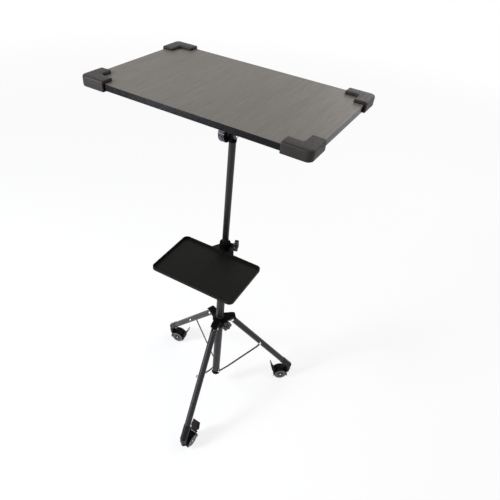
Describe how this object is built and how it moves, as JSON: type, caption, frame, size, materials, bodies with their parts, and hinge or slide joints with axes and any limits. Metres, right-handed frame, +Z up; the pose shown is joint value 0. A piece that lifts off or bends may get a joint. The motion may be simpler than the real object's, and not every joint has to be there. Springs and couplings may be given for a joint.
{
  "type": "rolling stand",
  "caption": "Rolling tripod stand with a telescopic mast, a tilting flat tray with soft corner guards, a small recessed shelf, folding braced legs and braked twin-wheel casters",
  "frame": {"origin": "on the floor, under the middle of the whole stand's outline", "axes": "+Z up the mast, X along the long edge of the tray, -Y the side the shelf is on"},
  "size_m": [0.607, 0.5195, 1.22],
  "materials": {
    "tube": "satin black paint",
    "moulding": "fine matt grain",
    "shelf": "fine matt grain",
    "nylon": "plain",
    "knob": "semi-gloss",
    "hood": "glossy",
    "wheel": "smooth tread",
    "pedal": "fine matt grain",
    "brace": "dull brown-black paint",
    "rivet": "polished",
    "steel": "zinc plated",
    "board": "grey wood-grain laminate",
    "edging": "glossy edging strip",
    "foam": "soft foam with a satin skin"
  },
  "bodies": {
    "mast_base": {"lower_tube": "tube", "foot_plug": "moulding", "foot_rivets": "rivet", "mast_collar": "moulding", "collar_bush": "nylon"},
    "mast_knob": {"mast_knob": "knob"},
    "mast_slide_plug": {"guide_plug": "nylon"},
    "mast": {"upper_pole": "tube", "pole_head": "moulding"},
    "tray": {"tilt_yoke": "tube", "tilt_bolt": "steel", "tilt_washers": "steel", "plate_screws": "steel", "tray_board": "board", "tray_edging": "edging", "corner_guard_front_left": "foam", "corner_guard_front_right": "foam", "corner_guard_back_left": "foam", "corner_guard_back_right": "foam"},
    "tilt_knob": {"tilt_knob": "knob"},
    "shelf_carrier": {"shelf_liner": "nylon", "shelf_clamp": "moulding", "clamp_screw": "steel"},
    "shelf": {"shelf_tray": "shelf"},
    "hub": {"hub": "moulding", "hub_bush": "nylon", "leg_pivot_rivets": "rivet"},
    "hub_knob": {"hub_knob": "knob"},
    "leg_front": {"leg_tube_front": "tube", "leg_boot_front": "moulding", "brace_rivet_front": "rivet", "caster_stem_front": "steel"},
    "brace_front": {"brace_front": "brace"},
    "caster_front": {"caster_hood_front": "hood", "caster_axle_front": "steel"},
    "wheel_a_front": {"wheel_a_front": "wheel"},
    "wheel_b_front": {"wheel_b_front": "wheel"},
    "pedal_front": {"brake_pedal_front": "pedal"},
    "leg_right": {"leg_tube_right": "tube", "leg_boot_right": "moulding", "brace_rivet_right": "rivet", "caster_stem_right": "steel"},
    "brace_right": {"brace_right": "brace"},
    "caster_right": {"caster_hood_right": "hood", "caster_axle_right": "steel"},
    "wheel_a_right": {"wheel_a_right": "wheel"},
    "wheel_b_right": {"wheel_b_right": "wheel"},
    "pedal_right": {"brake_pedal_right": "pedal"},
    "leg_left": {"leg_tube_left": "tube", "leg_boot_left": "moulding", "brace_rivet_left": "rivet", "caster_stem_left": "steel"},
    "brace_left": {"brace_left": "brace"},
    "caster_left": {"caster_hood_left": "hood", "caster_axle_left": "steel"},
    "wheel_a_left": {"wheel_a_left": "wheel"},
    "wheel_b_left": {"wheel_b_left": "wheel"},
    "pedal_left": {"brake_pedal_left": "pedal"}
  },
  "joints": [
    {"name": "mast_height", "type": "slide", "parent": "mast_base", "child": "mast_slide_plug", "axis": [0, 0, 1], "range_m": [-0.3, 0.1]},
    {"name": "mast_turn", "type": "hinge", "parent": "mast_slide_plug", "child": "mast", "pos_m": [0.011, 0.0475, 0.5], "axis": [0, 0, 1], "continuous": true},
    {"name": "tray_tilt", "type": "hinge", "parent": "mast", "child": "tray", "pos_m": [0.011, 0.0475, 1.092], "axis": [1, 0, 0], "range_deg": [-30, 30]},
    {"name": "tilt_knob_turn", "type": "hinge", "parent": "tray", "child": "tilt_knob", "pos_m": [-0.009, 0.0475, 1.092], "axis": [-1, 0, 0], "continuous": true},
    {"name": "shelf_height", "type": "slide", "parent": "mast_base", "child": "shelf_carrier", "axis": [0, 0, 1], "range_m": [-0.18, 0]},
    {"name": "shelf_turn", "type": "hinge", "parent": "shelf_carrier", "child": "shelf", "pos_m": [0.011, 0.0475, 0.706], "axis": [0, 0, 1], "continuous": true},
    {"name": "hub_lift", "type": "slide", "parent": "mast_base", "child": "hub", "axis": [0, 0, 1], "range_m": [0, 0.0888]},
    {"name": "mast_knob_turn", "type": "hinge", "parent": "mast_base", "child": "mast_knob", "pos_m": [0.03953, 0.05677, 0.7245], "axis": [0.9511, 0.309, 0], "continuous": true},
    {"name": "hub_knob_turn", "type": "hinge", "parent": "hub", "child": "hub_knob", "pos_m": [0.04893, 0.03481, 0.3866], "axis": [0.9483, -0.3173, 0], "continuous": true},
    {"name": "leg_fold_front", "type": "hinge", "parent": "hub", "child": "leg_front", "pos_m": [0.01993, 0.0036, 0.3806], "axis": [0.9799, 0.1994, 0], "range_deg": [0, 28.01]},
    {"name": "brace_fold_front", "type": "hinge", "parent": "mast_base", "child": "brace_front", "pos_m": [-0.00226, 0.03643, 0.0927], "axis": [0.9799, 0.1994, 0], "range_deg": [-25.9, 0]},
    {"name": "caster_swivel_front", "type": "hinge", "parent": "leg_front", "child": "caster_front", "pos_m": [0.07081, -0.24648, 0.04], "axis": [0, 0, 1], "continuous": true},
    {"name": "wheel_a_spin_front", "type": "hinge", "parent": "caster_front", "child": "wheel_a_front", "pos_m": [0.06113, -0.21603, 0.024], "axis": [-0.999, 0.0436, 0], "continuous": true},
    {"name": "wheel_b_spin_front", "type": "hinge", "parent": "caster_front", "child": "wheel_b_front", "pos_m": [0.08311, -0.21699, 0.024], "axis": [-0.999, 0.0436, 0], "continuous": true},
    {"name": "brake_press_front", "type": "hinge", "parent": "caster_front", "child": "pedal_front", "pos_m": [0.07329, -0.18974, 0.04276], "axis": [-0.999, 0.0436, 0], "range_deg": [0, 20]},
    {"name": "leg_fold_right", "type": "hinge", "parent": "hub", "child": "leg_right", "pos_m": [0.04455, 0.07719, 0.3806], "axis": [-0.6626, 0.749, 0], "range_deg": [0, 28.01]},
    {"name": "brace_fold_right", "type": "hinge", "parent": "mast_base", "child": "brace_right", "pos_m": [0.02721, 0.04155, 0.0927], "axis": [-0.6626, 0.749, 0], "range_deg": [-25.9, 0]},
    {"name": "caster_swivel_right", "type": "hinge", "parent": "leg_right", "child": "caster_right", "pos_m": [0.23569, 0.24629, 0.04], "axis": [0, 0, 1], "continuous": true},
    {"name": "wheel_a_spin_right", "type": "hinge", "parent": "caster_right", "child": "wheel_a_right", "pos_m": [0.21811, 0.2196, 0.024], "axis": [0.5948, -0.8039, 0], "continuous": true},
    {"name": "wheel_b_spin_right", "type": "hinge", "parent": "caster_right", "child": "wheel_b_right", "pos_m": [0.20503, 0.23728, 0.024], "axis": [0.5948, -0.8039, 0], "continuous": true},
    {"name": "brake_press_right", "type": "hinge", "parent": "caster_right", "child": "pedal_right", "pos_m": [0.19004, 0.21251, 0.04276], "axis": [0.5948, -0.8039, 0], "range_deg": [0, 20]},
    {"name": "leg_fold_left", "type": "hinge", "parent": "hub", "child": "leg_left", "pos_m": [-0.03148, 0.06171, 0.3806], "axis": [-0.3173, -0.9483, 0], "range_deg": [0, 28.01]},
    {"name": "brace_fold_left", "type": "hinge", "parent": "mast_base", "child": "brace_left", "pos_m": [0.00805, 0.06452, 0.0927], "axis": [-0.3173, -0.9483, 0], "range_deg": [-25.9, 0]},
    {"name": "caster_swivel_left", "type": "hinge", "parent": "leg_left", "child": "caster_left", "pos_m": [-0.2735, 0.14269, 0.04], "axis": [0, 0, 1], "continuous": true},
    {"name": "wheel_a_spin_left", "type": "hinge", "parent": "caster_left", "child": "wheel_a_left", "pos_m": [-0.24545, 0.158, 0.024], "axis": [-0.1478, 0.989, 0], "continuous": true},
    {"name": "wheel_b_spin_left", "type": "hinge", "parent": "caster_left", "child": "wheel_b_left", "pos_m": [-0.2422, 0.13625, 0.024], "axis": [-0.1478, 0.989, 0], "continuous": true},
    {"name": "brake_press_left", "type": "hinge", "parent": "caster_left", "child": "pedal_left", "pos_m": [-0.21733, 0.15108, 0.04276], "axis": [-0.1478, 0.989, 0], "range_deg": [0, 20]}
  ],
  "couplings": [
    {"joint": "leg_fold_front", "follows": "hub_lift", "rad_per_m": 5.5036},
    {"joint": "brace_fold_front", "follows": "hub_lift", "rad_per_m": -5.0886},
    {"joint": "leg_fold_right", "follows": "hub_lift", "rad_per_m": 5.5036},
    {"joint": "brace_fold_right", "follows": "hub_lift", "rad_per_m": -5.0886},
    {"joint": "leg_fold_left", "follows": "hub_lift", "rad_per_m": 5.5036},
    {"joint": "brace_fold_left", "follows": "hub_lift", "rad_per_m": -5.0886}
  ]
}
